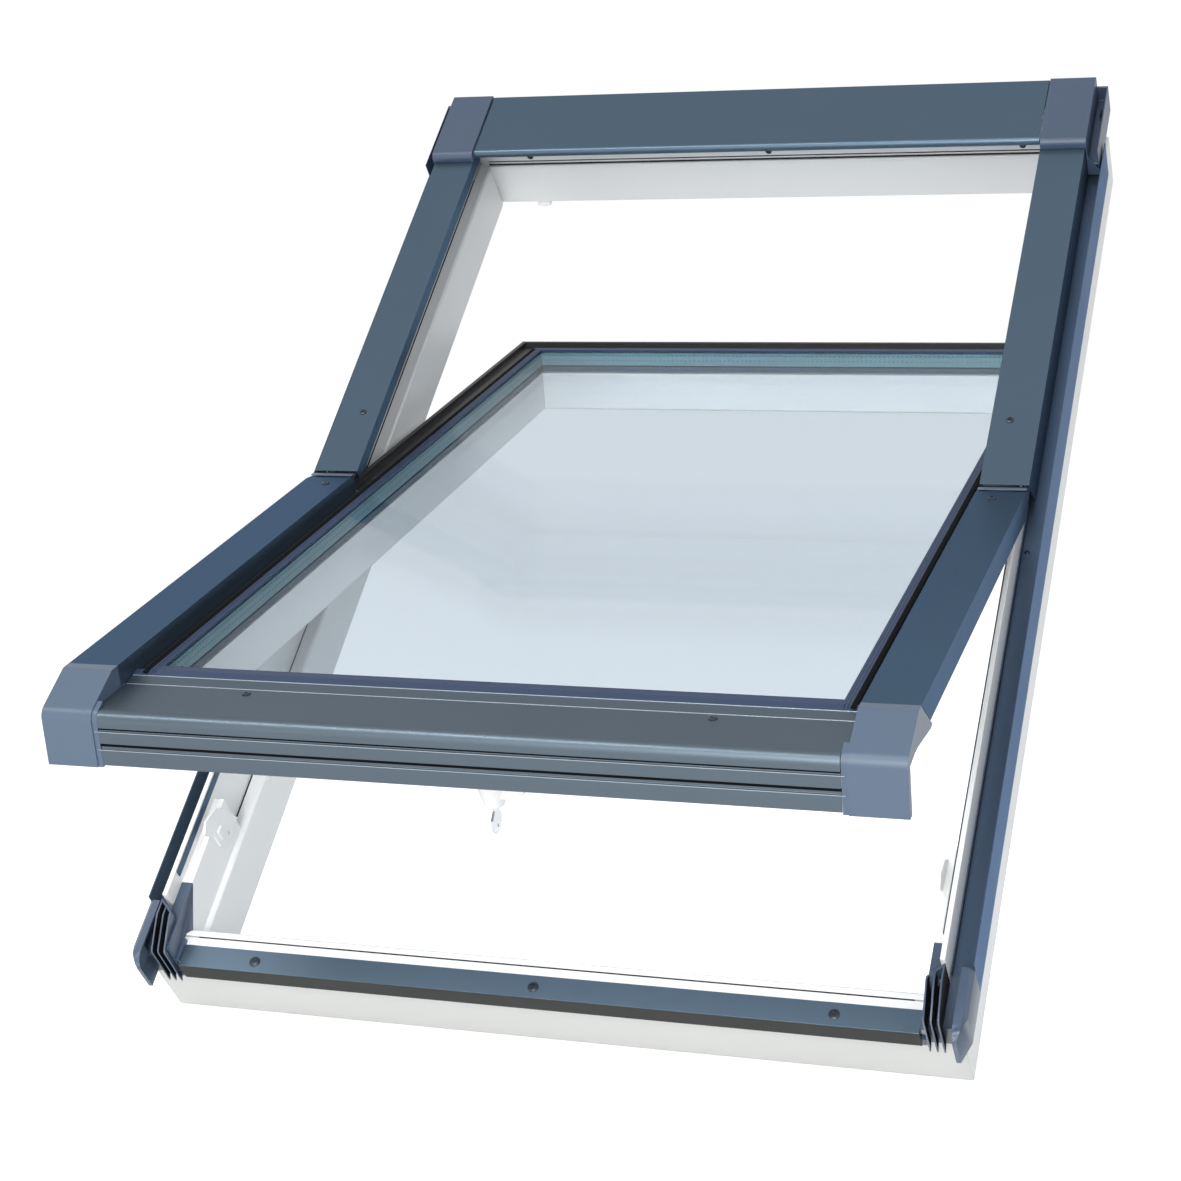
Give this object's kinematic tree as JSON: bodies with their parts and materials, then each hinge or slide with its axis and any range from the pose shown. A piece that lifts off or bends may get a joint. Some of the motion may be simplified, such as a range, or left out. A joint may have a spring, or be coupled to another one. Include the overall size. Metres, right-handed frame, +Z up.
{
  "type": "centre pivot roof window",
  "caption": "Roof window with a white frame and grey outer covers, its glazed sash swung open about a level pivot at mid height.",
  "frame": {"origin": "middle of the room-side face of the sill, where the frame lies against the roof structure", "axes": "+X along the pivot axis, to the right as seen from outside; +Y level, towards the ridge; +Z up. The window lies in a roof of 45 degrees pitch that rises towards +Y."},
  "size_m": [0.7936, 1.1212, 0.9269],
  "materials": {
    "white_pvc": "satin extruded",
    "grey_metal": "satin powder coat",
    "grey_plastic": "satin moulded",
    "dark_plastic": "satin moulded",
    "white_plastic": "gloss moulded",
    "hinge_steel": "zinc plated",
    "clear_glass": "clear",
    "spacer_bar": "matt perforated",
    "black_rubber": "matt",
    "key_metal": "polished"
  },
  "bodies": {
    "frame": {"frame_side_left": "white_pvc", "frame_side_right": "white_pvc", "frame_head": "white_pvc", "frame_sill": "white_pvc", "side_flashing_left": "grey_metal", "side_flashing_right": "grey_metal", "upper_cover_left": "grey_metal", "upper_cover_right": "grey_metal", "head_cover": "grey_metal", "head_cap_left": "grey_plastic", "head_cap_right": "grey_plastic", "sill_strip": "grey_metal", "corner_block_left": "dark_plastic", "corner_block_right": "dark_plastic", "catch_left": "white_plastic", "catch_right": "white_plastic", "hinge_track_left": "hinge_steel", "hinge_track_right": "hinge_steel"},
    "sash": {"sash_side_left": "white_pvc", "sash_side_right": "white_pvc", "sash_top_rail": "white_pvc", "sash_bottom_rail": "white_pvc", "outer_pane": "clear_glass", "middle_pane": "clear_glass", "inner_pane": "clear_glass", "outer_spacer": "spacer_bar", "inner_spacer": "spacer_bar", "glazing_strips": "grey_metal", "glass_seals": "black_rubber", "lower_cover_left": "grey_metal", "lower_cover_right": "grey_metal", "sash_cap_left": "grey_plastic", "sash_cap_right": "grey_plastic", "bottom_cover": "grey_metal", "hinge_shoe_left": "hinge_steel", "hinge_shoe_right": "hinge_steel", "handle_rosette": "white_plastic"},
    "handle": {"handle_dome": "white_plastic", "handle_key": "key_metal"}
  },
  "joints": [
    {"name": "sash_pivot", "type": "hinge", "parent": "frame", "child": "sash", "pos_m": [0, 0.28921, 0.49568], "axis": [-1, 0, 0], "range_deg": [-30, 110]},
    {"name": "handle_turn", "type": "hinge", "parent": "sash", "child": "handle", "pos_m": [0, -0.17341, 0.26716], "axis": [0, -0.2588, 0.9659], "range_deg": [0, 90]}
  ]
}
